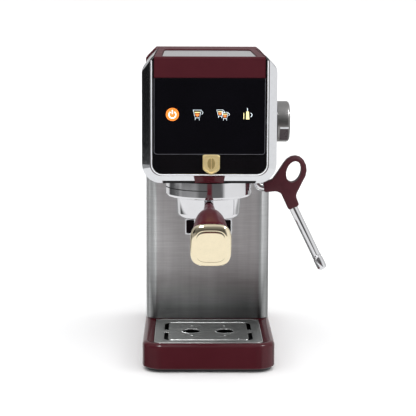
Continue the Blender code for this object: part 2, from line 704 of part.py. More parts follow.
def make_steam_valve():
    """Valve block inside the head, its spindle, and the knob on the right side."""
    block = piece("steam_valve", box((0.0435, KNOB_Y - 0.011, KNOB_Z - 0.012),
                                     (0.0600, KNOB_Y + 0.011, KNOB_Z + 0.012)), BRASS)
    soften(block, 0.002, 1)
    spindle = [(0, 0.0603), (0.0035, 0.0603), (0.0035, HEAD_HALF + GAP), (0, HEAD_HALF + GAP)]
    piece("valve_spindle", turned(spindle, (0, KNOB_Y, KNOB_Z), (1, 0, 0), 16), STEEL, KNOB_PIVOT)
    inner = HEAD_HALF + 2 * GAP
    knob = [(0, inner), (0.0195, inner), (0.0195, inner + 0.0015), (KNOB_RADIUS, inner + 0.0025),
            (KNOB_RADIUS, KNOB_END - 0.003), (KNOB_RADIUS - 0.001, KNOB_END - 0.001),
            (KNOB_RADIUS - 0.003, KNOB_END), (0, KNOB_END)]
    made = piece("steam_knob", turned(knob, (0, KNOB_Y, KNOB_Z), (1, 0, 0), 40), SILVER, KNOB_PIVOT)
    out = Vector((-math.cos(FACET_FALL), -math.sin(FACET_FALL)))
    along = Vector((-out.y, out.x)) * 0.013
    corners = (out * 0.0204 + along, out * 0.030 + along, out * 0.030 - along, out * 0.0204 - along)
    flat = [(KNOB_Y + corner.x, KNOB_Z + corner.y) for corner in corners]
    cut(made, prism(flat, "x", inner + 0.0040, KNOB_END - 0.0010), "finger_facet", KNOB_PIVOT)


def wand_point(x, z):
    """A point in the wand's own plane."""
    return Vector((x, WAND_Y, z))


def wand_path():
    """The bent tube's centre line, from under the head to the nozzle."""
    places = (
        (WAND_X, HEAD_UNDER - 0.0045),
        (0.0563, 0.1932),
        (0.0582, 0.1904),
        (0.0625, 0.1890),
        (0.0690, 0.1893),
        (0.0775, 0.1908),
        (0.0845, 0.1888),
        (0.0892, 0.1806),
        (0.0966, 0.1655),
        (NOZZLE_X, NOZZLE_Z),
    )
    return smooth_path([wand_point(x, z) for x, z in places], 3)


def loop_point(half_x, half_z, turn):
    """A point on the leaning oval of the grip's finger loop."""
    angle = math.radians(turn)
    lean = 0.0018 * math.sin(angle)
    return (LOOP_X + half_x * math.cos(angle) + lean, LOOP_Z + half_z * math.sin(angle))


def make_wand():
    """Swivel nut, bent tube, nozzle and the soft grip with its finger loop."""
    nut = [(0, -0.0039), (0.0068, -0.0039), (0.0078, -0.0029), (0.0078, -0.0010), (0.0070, -GAP), (0, -GAP)]
    piece("wand_nut", turned(nut, (WAND_X, WAND_Y, HEAD_UNDER), (0, 0, 1), 24), CHROME)
    path = wand_path()
    piece("steam_tube", swept(path, TUBE_RADIUS, 14), CHROME, WAND_PIVOT)
    fall = Vector((math.cos(WAND_FALL), 0, -math.sin(WAND_FALL)))
    nozzle = [(0, 0.0003), (0.0049, 0.0003), (0.0053, 0.0010), (0.0053, 0.0022), (0.0047, 0.0032),
              (0.0055, 0.0046), (0.0055, 0.0150), (0.0046, 0.0172), (0.0030, 0.0180), (0, 0.0180)]
    piece("steam_nozzle", turned(nozzle, wand_point(NOZZLE_X, NOZZLE_Z), fall, 20), CHROME, WAND_PIVOT)
    outline = [(0.0616, 0.1945), (0.0628, 0.1834), (0.0780, 0.1850), (0.0822, 0.1820), (0.0912, 0.1630)]
    outline += [(0.1034, 0.1686), (0.0988, 0.1799)]
    outline += [loop_point(0.0147, 0.0180, turn) for turn in range(-38, 160, 21)]
    outline += [(0.0782, 0.2068), (0.0723, 0.1984)]
    grip = piece("wand_grip", prism(outline, "y", WAND_Y - GRIP_HALF, WAND_Y + GRIP_HALF), SILICONE,
                 WAND_PIVOT)
    soften(grip, 0.0028)
    hole = [loop_point(0.0085, 0.0122, turn) for turn in range(0, 360, 18)]
    cut(grip, prism(hole, "y", WAND_Y - 0.02, WAND_Y + 0.02), "finger_hole", WAND_PIVOT)
    bore = swept(path[5:], TUBE_RADIUS + GAP, 14)
    cut(grip, bore, "bore", WAND_PIVOT)


# ---------------------------------------------------------------- rear and tank

def shoulder_outline(half, low, top, total, inset=0.0):
    """A tall outline with sloping shoulders and rounded lower corners."""
    side = half - inset
    edge = total - inset * math.sqrt(2) - (top - inset)
    corner = 0.006
    outline = [(edge, top - inset), (-edge, top - inset), (-side, total - inset * math.sqrt(2) - side)]
    outline += arc(-side + corner, low + inset + corner, corner, 180, 270, 3)
    outline += arc(side - corner, low + inset + corner, corner, 270, 360, 3)
    outline += [(side, total - inset * math.sqrt(2) - side)]
    return outline


def make_rear_frame():
    """Burgundy frame that closes the back of the head and the column."""
    outer = shoulder_outline(REAR_HALF, BASE_TOP + GAP, HEAD_TOP, REAR_SHOULDER_SUM)
    inner = shoulder_outline(REAR_HALF, BASE_TOP + GAP, HEAD_TOP, REAR_SHOULDER_SUM, 0.0025)
    front = HEAD_REAR + GAP
    loops = []
    for outline, y in ((inner, REAR_BACK - 0.0025), (inner, front), (outer, front), (outer, REAR_BACK)):
        loops.append([(x, y, z) for x, z in outline])
    piece("rear_frame", loft(loops), BURGUNDY)


def make_tank():
    """Smoked water tank with a raised floor, open at the top, and its outlet hole."""
    front = REAR_BACK + GAP
    rear = BASE_DEPTH
    loops = []
    skirt = BASE_TOP + 0.0010
    levels = ((TANK_WALL, 0.0345), (TANK_WALL, skirt), (0, skirt), (0, TANK_TOP),
              (TANK_WALL, TANK_TOP), (TANK_WALL, TANK_FLOOR))
    for inset, height in levels:
        flat = round_rect(-TANK_HALF + inset, TANK_HALF - inset, front + inset, rear - inset,
                          TANK_CORNER - inset, 3)
        loops.append([(x, y, height) for x, y in flat])
    tank = piece("water_tank", loft(loops), SMOKED, TANK_PIVOT)
    hole = [(0, 0.030), (0.0045, 0.030), (0.0045, 0.045), (0, 0.045)]
    cut(tank, turned(hole, (0, OUTLET_Y, 0), (0, 0, 1), 20), "outlet", TANK_PIVOT)


def make_tank_valve():
    """Seat on the base, and the tank's own sprung outlet valve above it."""
    seat = [(0.0040, BASE_TOP + GAP), (0.0115, BASE_TOP + GAP), (0.0115, 0.0290), (0.0080, 0.0300),
            (0.0040, 0.0300)]
    piece("tank_seat", turned(seat, (0, OUTLET_Y, 0), (0, 0, 1), 24), BLACK)
    valve = [(0, 0.0308), (0.0060, 0.0308), (0.0060, 0.0316), (0.0030, 0.0316), (0.0030, TANK_FLOOR + GAP),
             (0.0070, TANK_FLOOR + GAP), (0.0070, 0.0393), (0, 0.0400)]
    piece("outlet_valve", turned(valve, (0, OUTLET_Y, 0), (0, 0, 1), 20), RUBBER, TANK_PIVOT)
    turns = 2
    steps = 14
    coil = []
    for i in range(turns * steps + 1):
        angle = 2 * math.pi * i / steps
        height = 0.0322 + 0.0018 * i / (turns * steps)
        coil.append(Vector((0.0044 * math.cos(angle), OUTLET_Y + 0.0044 * math.sin(angle), height)))
    piece("valve_spring", swept(coil, 0.0003, 6), STEEL, TANK_PIVOT)


def make_tank_lid():
    """Burgundy lid with the head's sloping shoulders, hollow below."""
    def section(inset, top):
        side = REAR_HALF - inset
        total = REAR_SHOULDER_SUM - inset * math.sqrt(2)
        return [(side, LID_UNDER), (side, total - side), (total - top, top), (top - total, top),
                (-side, total - side), (-side, LID_UNDER)]
    lid = piece("tank_lid", prism(section(0.0, HEAD_TOP), "y", REAR_BACK + GAP, BASE_DEPTH), BURGUNDY,
                LID_PIVOT)
    space = prism([(0.0720, 0.32), (0.0720, 0.3295), (0.0650, 0.3365), (-0.0650, 0.3365), (-0.0720, 0.3295),
                   (-0.0720, 0.32)], "y", REAR_BACK + 0.0025, BASE_DEPTH - 0.0045)
    cut(lid, space, "hollow", LID_PIVOT)


def main():
    """Make every piece of the machine."""
    make_base()
    make_bottom_plate()
    make_feet_and_screws()
    make_drip_tray()
    make_drip_grid()
    make_cord_gland()
    make_column()
    make_inner_frame()
    make_pump()
    make_main_board()
    make_hoses()
    make_heater()
    make_head_shell()
    make_top_frame()
    make_cup_tray()
    make_front_panel()
    make_badge()
    make_bezel_insert()
    make_group()
    make_portafilter()
    make_spout()
    make_handle()
    make_steam_valve()
    make_wand()
    make_rear_frame()
    make_tank()
    make_tank_valve()
    make_tank_lid()


main()
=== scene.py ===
"""Looks for the slim pump espresso machine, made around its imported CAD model."""
import json
import math

import bmesh
import bpy
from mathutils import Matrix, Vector


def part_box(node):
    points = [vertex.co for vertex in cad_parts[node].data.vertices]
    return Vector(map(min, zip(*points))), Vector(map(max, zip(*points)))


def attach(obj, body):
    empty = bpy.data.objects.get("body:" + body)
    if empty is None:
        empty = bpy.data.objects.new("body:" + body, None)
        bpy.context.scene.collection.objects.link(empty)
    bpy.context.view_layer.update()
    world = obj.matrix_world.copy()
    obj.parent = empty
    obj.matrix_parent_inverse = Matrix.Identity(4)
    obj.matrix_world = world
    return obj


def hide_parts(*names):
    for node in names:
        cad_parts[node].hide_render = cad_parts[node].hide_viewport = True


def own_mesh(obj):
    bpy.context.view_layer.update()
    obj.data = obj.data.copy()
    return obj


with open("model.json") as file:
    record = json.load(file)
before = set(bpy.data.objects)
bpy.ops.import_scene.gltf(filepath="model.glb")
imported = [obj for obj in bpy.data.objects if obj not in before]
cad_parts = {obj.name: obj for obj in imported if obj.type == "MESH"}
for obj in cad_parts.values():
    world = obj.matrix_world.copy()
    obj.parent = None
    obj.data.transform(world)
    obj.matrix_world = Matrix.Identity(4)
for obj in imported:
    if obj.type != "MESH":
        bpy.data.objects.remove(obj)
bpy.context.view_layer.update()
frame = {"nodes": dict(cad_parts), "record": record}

RECORD = frame["record"]
BODY_OF = {node: body for body, nodes in RECORD["behaviour"]["bodies"].items() for node in nodes}
SLOT_OF = {part["node"]: part["material_slot"] for part in RECORD["subparts"]}

# Heights are given from a level 4.2 mm above the base's lower edge.
LEVEL_ABOVE_EDGE = 0.0042

# The machine's mid-plane, the base's front face and that level.
BASE_LOW, BASE_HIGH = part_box("base_housing")
MIDDLE = (BASE_LOW[0] + BASE_HIGH[0]) / 2
FRONT = BASE_LOW[1]
LIFT = BASE_LOW[2] + LEVEL_ABOVE_EDGE


def at(x, y, z):
    """A point given from the mid-plane, the base's front face and that level."""
    return Vector((MIDDLE + x, FRONT + y, LIFT + z))


# ---------------------------------------------------------------- materials

# The range of noise values that colour and gloss vary over.
GRAIN_LOW, GRAIN_HIGH = 0.30, 0.70
COLOUR_DETAIL, RELIEF_DETAIL = 6.0, 3.0
RELIEF_DEPTH = 0.0002
LEAST_ROUGHNESS = 0.02
COAT_ROUGHNESS = 0.05
BRUSH_TURN = 0.25


def link(tree, source, output, target, socket):
    """Join two nodes' sockets."""
    tree.links.new(source.outputs[output], target.inputs[socket])


def feed(tree, socket, value):
    """Link an input to a node's output socket, or set it to a number or colour."""
    if isinstance(value, bpy.types.NodeSocket):
        tree.links.new(value, socket)
    else:
        socket.default_value = value


def math_node(tree, operation, first, second):
    """A maths node's result; each input is a node's output socket or a number."""
    node = tree.nodes.new("ShaderNodeMath")
    node.operation = operation
    feed(tree, node.inputs[0], first)
    feed(tree, node.inputs[1], second)
    return node.outputs[0]


def mix_node(tree, factor, first, second, mode="MIX"):
    """Two colours mixed; each input is a node's output socket, a number or a colour."""
    node = tree.nodes.new("ShaderNodeMixRGB")
    node.blend_type = mode
    feed(tree, node.inputs["Fac"], factor)
    feed(tree, node.inputs["Color1"], first)
    feed(tree, node.inputs["Color2"], second)
    return node.outputs["Color"]


def ramp_node(tree, value, stops):
    """A grey ramp over a value, from (position, grey) stops."""
    node = tree.nodes.new("ShaderNodeValToRGB")
    elements = node.color_ramp.elements
    while len(elements) < len(stops):
        elements.new(0.5)
    for element, (position, grey) in zip(elements, stops):
        element.position = position
        element.color = (grey, grey, grey, 1.0)
    tree.links.new(value, node.inputs["Fac"])
    return node.outputs["Color"]


def tone_along(tree, place, axis, start, end, stops):
    """A grey tone that varies along an axis of the piece, between two places."""
    split = tree.nodes.new("ShaderNodeSeparateXYZ")
    link(tree, place, "Object", split, "Vector")
    along = tree.nodes.new("ShaderNodeMapRange")
    along.inputs["From Min"].default_value = start
    along.inputs["From Max"].default_value = end
    tree.links.new(split.outputs[axis], along.inputs["Value"])
    return ramp_node(tree, along.outputs["Result"], stops)


def noise(tree, stretch, scale, detail):
    """Noise in the piece's own coordinates, stretched along an axis where wanted."""
    place = tree.nodes.new("ShaderNodeTexCoord")
    mapping = tree.nodes.new("ShaderNodeMapping")
    mapping.inputs["Scale"].default_value = stretch
    texture = tree.nodes.new("ShaderNodeTexNoise")
    texture.inputs["Scale"].default_value = scale
    texture.inputs["Detail"].default_value = detail
    link(tree, place, "Object", mapping, "Vector")
    link(tree, mapping, "Vector", texture, "Vector")
    return texture


def vary_colour(tree, shader, grain, colour, tint):
    """Let the base colour swing a little either side of a colour."""
    ramp = tree.nodes.new("ShaderNodeValToRGB")
    ramp.color_ramp.elements[0].position = GRAIN_LOW
    ramp.color_ramp.elements[1].position = GRAIN_HIGH
    ramp.color_ramp.elements[0].color = (*[c * (1 - tint) for c in colour], 1.0)
    ramp.color_ramp.elements[1].color = (*[min(1.0, c * (1 + tint)) for c in colour], 1.0)
    link(tree, grain, "Fac", ramp, "Fac")
    link(tree, ramp, "Color", shader, "Base Color")


def vary_gloss(tree, shader, grain, roughness, swing):
    """Let the roughness swing a little either side of a value."""
    gloss = tree.nodes.new("ShaderNodeMapRange")
    gloss.inputs["From Min"].default_value = GRAIN_LOW
    gloss.inputs["From Max"].default_value = GRAIN_HIGH
    gloss.inputs["To Min"].default_value = max(LEAST_ROUGHNESS, roughness - swing)
    gloss.inputs["To Max"].default_value = roughness + swing
    link(tree, grain, "Fac", gloss, "Value")
    link(tree, gloss, "Result", shader, "Roughness")


def stretch_highlights(tree, shader, strength):
    """Stretch the highlights across the strokes of a brushed finish."""
    tangent = tree.nodes.new("ShaderNodeTangent")
    tangent.direction_type = "RADIAL"
    tangent.axis = "Z"
    link(tree, tangent, "Tangent", shader, "Tangent")
    shader.inputs["Anisotropic"].default_value = strength
    shader.inputs["Anisotropic Rotation"].default_value = BRUSH_TURN


def add_relief(tree, shader, stretch, scale, strength):
    """Give the surface fine bumps."""
    fine = noise(tree, stretch, scale, RELIEF_DETAIL)
    relief = tree.nodes.new("ShaderNodeBump")
    relief.inputs["Strength"].default_value = strength
    relief.inputs["Distance"].default_value = RELIEF_DEPTH
    link(tree, fine, "Fac", relief, "Height")
    link(tree, relief, "Normal", shader, "Normal")


def surface(name, colour, roughness, metallic=0.0, *, scale, tint, stretch=(1, 1, 1), swing=0.04,
            bump=0.0, bump_scale=None, specular=0.5, brushed=0.0, clear=0.0, coat=0.0):
    """A Principled material whose colour, gloss and relief vary by noise."""
    material = bpy.data.materials.new(name)
    material.use_nodes = True
    tree = material.node_tree
    shader = tree.nodes["Principled BSDF"]
    shader.inputs["Metallic"].default_value = metallic
    shader.inputs["Specular IOR Level"].default_value = specular
    shader.inputs["Transmission Weight"].default_value = clear
    shader.inputs["Coat Weight"].default_value = coat
    shader.inputs["Coat Roughness"].default_value = COAT_ROUGHNESS
    grain = noise(tree, stretch, scale, COLOUR_DETAIL)
    vary_colour(tree, shader, grain, colour, tint)
    vary_gloss(tree, shader, grain, roughness, swing)
    if brushed:
        stretch_highlights(tree, shader, brushed)
    if bump:
        add_relief(tree, shader, stretch, bump_scale, bump)
    return material


def glow(name, colour, strength):
    """A lit mark on the display, with a faint unevenness."""
    material = surface(name, colour, 0.4, tint=0.05, scale=400.0)
    shader = material.node_tree.nodes["Principled BSDF"]
    shader.inputs["Emission Color"].default_value = (*colour, 1.0)
    shader.inputs["Emission Strength"].default_value = strength
    return material


MATERIALS = {
    "burgundy": surface("burgundy_gloss", (0.066, 0.0095, 0.0145), 0.22, scale=35.0, tint=0.05,
                        swing=0.03, bump=0.02, bump_scale=500.0, specular=0.12, coat=0.32),
    "satin_chrome": surface("satin_plating", (0.80, 0.81, 0.835), 0.08, 1.0, scale=220.0, tint=0.02,
                            swing=0.015, bump=0.005, bump_scale=2600.0),
    "brushed_steel": surface("brushed_steel", (0.845, 0.86, 0.865), 0.30, 0.90, stretch=(0.05, 0.05, 1),
                             scale=700.0, tint=0.06, swing=0.02, bump=0.05, bump_scale=3000.0,
                             brushed=0.85),
    "chrome": surface("bright_chrome", (0.80, 0.80, 0.82), 0.06, 1.0, scale=90.0, tint=0.02, swing=0.02),
    "champagne_gold": surface("champagne_gold", (0.98, 0.87, 0.63), 0.09, 1.0, scale=150.0, tint=0.02,
                              swing=0.03),
    "black_glass": surface("black_glass", (0.0024, 0.0022, 0.0036), 0.05, scale=20.0, tint=0.2,
                           swing=0.02, specular=0.22),
    "black_plastic": surface("black_plastic", (0.012, 0.012, 0.013), 0.42, scale=300.0, tint=0.12,
                             bump=0.2, bump_scale=1800.0),
    "gloss_black": surface("gloss_black", (0.0035, 0.0035, 0.0045), 0.12, scale=40.0, tint=0.15,
                           swing=0.03, specular=0.26),
    "black_rubber": surface("black_rubber", (0.018, 0.018, 0.018), 0.8, scale=500.0, tint=0.15,
                            bump=0.3, bump_scale=2500.0),
    "burgundy_silicone": surface("burgundy_silicone", (0.066, 0.0105, 0.017), 0.50, scale=120.0,
                                 tint=0.08, swing=0.05, bump=0.15, bump_scale=2200.0, specular=0.24),
    "aluminium": surface("cast_aluminium", (0.55, 0.56, 0.57), 0.48, 1.0, scale=260.0, tint=0.10,
                         swing=0.08, bump=0.4, bump_scale=1400.0),
    "brass": surface("brass", (0.62, 0.44, 0.16), 0.30, 1.0, scale=200.0, tint=0.10, swing=0.06),
    "zinc_steel": surface("zinc_steel", (0.55, 0.56, 0.58), 0.38, 1.0, scale=150.0, tint=0.12,
                          swing=0.08),
    "smoked_plastic": surface("smoked_plastic", (0.30, 0.27, 0.28), 0.10, scale=30.0, tint=0.04,
                              swing=0.02, clear=0.85),
    "circuit_board": surface("circuit_board", (0.02, 0.12, 0.05), 0.45, scale=700.0, tint=0.25),
    "hose": surface("silicone_hose", (0.70, 0.70, 0.68), 0.42, scale=200.0, tint=0.05),
}
FLAT_STEEL = surface("brushed_flat_steel", (0.54, 0.55, 0.54), 0.36, 1.0, stretch=(0.25, 1, 1),
                     scale=900.0, tint=0.12, swing=0.06, bump=0.12, bump_scale=2600.0)
TOP_BURGUNDY = surface("burgundy_satin", (0.072, 0.0125, 0.018), 0.45, scale=35.0, tint=0.05,
                       swing=0.04, bump=0.02, bump_scale=500.0, specular=0.04)
HANDLE_BURGUNDY = surface("burgundy_handle", (0.078, 0.0095, 0.017), 0.34, scale=60.0, tint=0.05,
                          swing=0.04, bump=0.02, bump_scale=600.0, specular=0.14, coat=0.12)
TRAY_STEEL = surface("tray_steel", (0.52, 0.52, 0.53), 0.30, 1.0, stretch=(0.25, 1, 1), scale=900.0,
                     tint=0.05, swing=0.03, bump=0.03, bump_scale=2600.0)
KNOB_STEEL = surface("knob_satin", (0.30, 0.295, 0.29), 0.33, 1.0, scale=260.0, tint=0.03, swing=0.03)
# Painted shade with a burgundy painted reflection, for the steel knob's facet.
FACET_PAINTED_SHADE = surface("knob_facet_painted_shade", (0.052, 0.036, 0.042), 0.30, 0.2, scale=260.0, tint=0.06)
BADGE_GOLD = surface("badge_gold", (0.86, 0.70, 0.36), 0.42, 0.6, scale=500.0, tint=0.06, swing=0.05)
BEAN_GOLD = surface("bean_gold", (0.50, 0.38, 0.16), 0.40, 0.7, scale=500.0, tint=0.10, swing=0.05)
# Grey for the painted highlight on the glass's polished edge.
PAINTED_EDGE_HIGHLIGHT = surface("glass_edge_painted_highlight", (0.13, 0.13, 0.15), 0.35, 0.2, scale=300.0, tint=0.08)
# Bright silver for painted highlights on edges: the bezel's lip, the spout's frames and the knob's edge
# line.
PAINTED_HIGHLIGHT_SILVER = surface("painted_highlight_silver", (0.90, 0.91, 0.93), 0.42, 0.30, scale=300.0, tint=0.04, swing=0.05)
ORANGE = glow("orange_light", (0.80, 0.20, 0.02), 0.85)
WHITE = glow("white_light", (0.80, 0.90, 0.95), 1.1)
AMBER = glow("amber_light", (0.80, 0.22, 0.04), 0.6)
CREAM = glow("cream_light", (0.85, 0.76, 0.36), 0.75)


# ---------------------------------------------------------------- mesh helpers

CORNER_STEPS = 6
WELD_DISTANCE = 0.000002
FLAT_ANGLE = math.radians(0.4)
SHARP_ANGLE = math.radians(35)
BEVEL_ANGLE = math.radians(30)
BEVEL_SHARP_ANGLE = math.radians(60)


def arc(cx, cy, radius, start, end, steps):
    """Points on an arc between two angles in degrees, ends included."""
    angles = [math.radians(start + (end - start) * i / steps) for i in range(steps + 1)]
    return [(cx + radius * math.cos(a), cy + radius * math.sin(a)) for a in angles]


def loft(loops, ring=False):
    """Skin equal loops of points; the ends are capped, or joined to each other in a ring."""
    shape = bmesh.new()
    rows = [[shape.verts.new(point) for point in loop] for loop in loops]
    pairs = list(zip(rows, rows[1:]))
    if ring:
        pairs.append((rows[-1], rows[0]))
    else:
        shape.faces.new(rows[0])
        shape.faces.new(rows[-1])
    for low, high in pairs:
        for i in range(len(low)):
            j = (i + 1) % len(low)
            shape.faces.new((low[i], low[j], high[j], high[i]))
    return shape


def round_rect(half_x, half_y, radius):
    """A rounded rectangle about the origin."""
    x, y = half_x - radius, half_y - radius
    outline = []
    for across, rise, start in ((x, y, 0), (-x, y, 90), (-x, -y, 180), (x, -y, 270)):
        outline += arc(across, rise, radius, start, start + 90, CORNER_STEPS)
    return outline


def piece(name, shape, material, body):
    """An object from a bmesh in the frame, which rides on a body."""
    bmesh.ops.recalc_face_normals(shape, faces=shape.faces)
    mesh = bpy.data.meshes.new(name)
    shape.to_mesh(mesh)
    shape.free()
    mesh.materials.append(material)
    mesh.shade_smooth()
    mesh.set_sharp_from_angle(angle=SHARP_ANGLE)
    made = bpy.data.objects.new(name, mesh)
    bpy.context.collection.objects.link(made)
    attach(made, body)
    return made


def rounded(made, width, segments):
    """Round the edges and keep the flat faces flat in their shading."""
    bevel = made.modifiers.new("edge", "BEVEL")
    bevel.width = width
    bevel.segments = segments
    bevel.limit_method = "ANGLE"
    bevel.angle_limit = BEVEL_ANGLE
    made.modifiers.new("normals", "WEIGHTED_NORMAL").keep_sharp = True
    made.data.set_sharp_from_angle(angle=BEVEL_SHARP_ANGLE)


def refine(node, width=0.0, segments=3, material=None):
    """A piece with the node's own shape and finely rounded edges, which stands for the node."""
    shape = bmesh.new()
    shape.from_mesh(frame["nodes"][node].data)
    bmesh.ops.remove_doubles(shape, verts=shape.verts, dist=WELD_DISTANCE)
    bmesh.ops.dissolve_limit(shape, angle_limit=FLAT_ANGLE, verts=shape.verts, edges=shape.edges)
    slot = SLOT_OF[node]
    made = piece(node + "_skin", shape, material or MATERIALS[slot], BODY_OF[node])
    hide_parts(node)
    if width:
        rounded(made, width, segments)
    return made


# ---------------------------------------------------------------- pieces

# The column's painted light and shade as (place, grey) stops: a painted shade from its foot to its top, then
# painted highlights down its two corners and a painted shade down its right edge, from its left to its
# right.
COLUMN_FOOT_PAINTED_SHADE = ((0.0, 0.12), (0.06, 0.165), (0.10, 0.28), (0.19, 0.50), (0.31, 0.80), (0.45, 1.0))
COLUMN_CORNER_PAINTED_HIGHLIGHTS = ((0.0, 0.80), (0.03, 0.80), (0.07, 0.0), (0.93, 0.0), (0.97, 0.75), (1.0, 0.75))
COLUMN_RIGHT_EDGE_PAINTED_SHADE = ((0.0, 1.0), (0.90, 1.0), (0.97, 0.58), (1.0, 0.52))
# The column's upright streaks: grey over the noise's value, and the noise's stretch, scale and detail.
STREAK_TONE = ((0.0, 0.80), (0.35, 0.86), (0.65, 1.0), (1.0, 1.0))
STREAK_STRETCH, STREAK_SCALE, STREAK_DETAIL = (1, 1, 0.04), 95.0, 4.0


def paint_column_light_and_shade():
    """The brushed panel's colour: painted shade at its foot, painted highlights down its corners, painted
    shade down its right edge, and upright brushing streaks.
    """
    low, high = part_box("column_wrap")
    tree = MATERIALS["brushed_steel"].node_tree
    colour = tree.nodes["Principled BSDF"].inputs["Base Color"]
    grain = colour.links[0].from_socket
    place = tree.nodes.new("ShaderNodeTexCoord")
    # Painted shade at the foot, painted highlights on the corners and painted shade on the right edge.
    foot = tone_along(tree, place, "Z", low[2], high[2], COLUMN_FOOT_PAINTED_SHADE)
    corners = tone_along(tree, place, "X", low[0], high[0], COLUMN_CORNER_PAINTED_HIGHLIGHTS)
    right = tone_along(tree, place, "X", low[0], high[0], COLUMN_RIGHT_EDGE_PAINTED_SHADE)
    foot_shade_and_corner_highlights = mix_node(tree, 1.0, foot, corners, "LIGHTEN")
    painted_light_and_shade = mix_node(tree, 1.0, foot_shade_and_corner_highlights, right, "MULTIPLY")
    streaks = noise(tree, STREAK_STRETCH, STREAK_SCALE, STREAK_DETAIL)
    streak_tone = ramp_node(tree, streaks.outputs["Fac"], STREAK_TONE)
    streaked = mix_node(tree, 1.0, painted_light_and_shade, streak_tone, "MULTIPLY")
    tree.links.new(mix_node(tree, 1.0, grain, streaked, "MULTIPLY"), colour)


# Nodes whose edges are softened, with the width of the softening.
ROUNDED_NODES = {
    "base_housing": 0.0006, "head_shell": 0.0009, "top_frame": 0.0008, "display_glass": 0.0006,
    "lower_fascia": 0.0004, "rear_frame": 0.0010, "water_tank": 0.0007, "tank_lid": 0.0012,
    "drip_tray": 0.0005, "bezel_insert": 0.0003, "spout": 0.0011, "steam_knob": 0.0005,
    "bottom_plate": 0.0004, "cord_gland": 0.0004, "cup_tray": 0.0004, "column_wrap": 0.0003,
}
SPECIAL_MATERIALS = {"cup_tray": TRAY_STEEL, "steam_knob": KNOB_STEEL, "top_frame": TOP_BURGUNDY,
                     "tank_lid": TOP_BURGUNDY, "rear_frame": TOP_BURGUNDY, "handle": HANDLE_BURGUNDY}


def make_rounded_nodes():
    """Softened stand-ins for the CAD pieces with visible edges."""
    for node, width in ROUNDED_NODES.items():
        refine(node, width, 3, SPECIAL_MATERIALS.get(node))


def finish_plain_nodes(done):
    """Give every CAD node that stays its material."""
    for node, made in frame["nodes"].items():
        if node in done:
            continue
        made.data.materials.clear()
        made.data.materials.append(MATERIALS[SLOT_OF[node]])


# A mark's thickness, how far it stands out of the glass, and how far one on top of another does.
MARK_DEPTH = 0.0001
MARK_RAISE = 0.00012
TOP_MARK_RAISE = 0.00022


def flat_mark(name, outline, material, depth=MARK_DEPTH, raise_by=MARK_RAISE):
    """A thin mark on the display glass, from an outline in the glass's own plane."""
    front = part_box("display_glass")[0][1] - raise_by
    loops = [[Vector((MIDDLE + x, y, z)) for x, z in outline] for y in (front, front + depth)]
    piece(name, loft(loops), material, BODY_OF["display_glass"])


def band(cx, cz, radius, width, start, end, steps=24):
    """A curved band's outline."""
    outer = arc(cx, cz, radius + width / 2, start, end, steps)
    inner = arc(cx, cz, radius - width / 2, end, start, steps)
    return outer + inner


def bar(x0, z0, x1, z1, width):
    """A straight stroke's outline."""
    run = Vector((x1 - x0, z1 - z0)).normalized()
    side = Vector((-run.y, run.x)) * (width / 2)
    start, end = Vector((x0, z0)), Vector((x1, z1))
    return [tuple(start + side), tuple(end + side), tuple(end - side), tuple(start - side)]


def make_power_mark(x, z):
    """Orange disc with the usual on and off sign."""
    disc_radius, ring_radius, stroke = 0.0071, 0.0037, 0.0012
    flat_mark("mark_power_disc", arc(x, z, disc_radius, 0, 350, 35), ORANGE)
    ring = band(x, z - 0.0003, ring_radius, stroke, 125, 415)
    flat_mark("mark_power_ring", ring, WHITE, raise_by=TOP_MARK_RAISE)
    stem = bar(x, z + 0.0004, x, z + 0.0047, stroke)
    flat_mark("mark_power_stem", stem, WHITE, raise_by=TOP_MARK_RAISE)


def make_cup_mark(name, x, z, size):
    """A glass cup in thin outline, with layered coffee in it and a footed stand."""
    stroke = 0.00030
    top, half, low_half = 0.0048, 0.0043, 0.0027
    stand, foot = -0.0036, -0.0062

    def point(across, rise):
        return x + across * size, z + rise * size

    def line(part, start, end):
        flat_mark(name + part, bar(*point(*start), *point(*end), stroke), WHITE)

    line("_rim", (-half, top), (half, top))
    for side in (-1, 1):
        line("_wall_" + str(side + 1), (side * half, top), (side * low_half, -0.0022))
        line("_foot_" + str(side + 1), (side * 0.0016, stand), (side * 0.0024, foot))
    line("_stand", (-low_half, stand), (low_half, stand))
    coffee = [point(-0.0026, 0.0010), point(0.0026, 0.0010)]
    coffee += arc(*point(0.0, -0.0004), 0.0019 * size, 0, -180, 10)
    flat_mark(name + "_coffee", coffee, AMBER)
    foam = [point(-0.0030, 0.0028), point(0.0030, 0.0028), point(0.0028, 0.0018), point(-0.0028, 0.0018)]
    flat_mark(name + "_foam", foam, CREAM)
    flat_mark(name + "_ear", band(*point(half, 0.0020), 0.0018 * size, stroke, -80, 80, 10), WHITE)


def make_jug_mark(x, z):
    """A milk jug with its handle, beside a steam pipe."""
    top, bottom = z + 0.0034, z - 0.0052
    flat_mark("mark_jug", [(x - 0.0012, top), (x + 0.0016, top), (x + 0.0022, bottom), (x - 0.0014, bottom)],
              CREAM)
    flat_mark("mark_jug_ear", band(x + 0.0030, z - 0.0004, 0.0021, 0.0005, -75, 75, 12), WHITE)
    steam, pipe = x + 0.0001, x - 0.0038
    flat_mark("mark_jug_steam", bar(steam, z + 0.0038, steam, z + 0.0070, 0.0006), WHITE)
    flat_mark("mark_jug_pipe", bar(pipe, z - 0.0048, pipe, z + 0.0018, 0.0008), CREAM)


def make_display_marks():
    """The four lit marks in a row on the glass."""
    low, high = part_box("display_glass")
    row_share, pair_size = 0.528, 0.80
    row = low[2] + (high[2] - low[2]) * row_share
    make_power_mark(-0.0403, row)
    make_cup_mark("mark_one_cup", -0.0134, row, 1.0)
    make_cup_mark("mark_two_cups_left", 0.0112, row + 0.0012, pair_size)
    make_cup_mark("mark_two_cups_right", 0.0166, row - 0.0014, pair_size)
    make_jug_mark(0.0408, row)


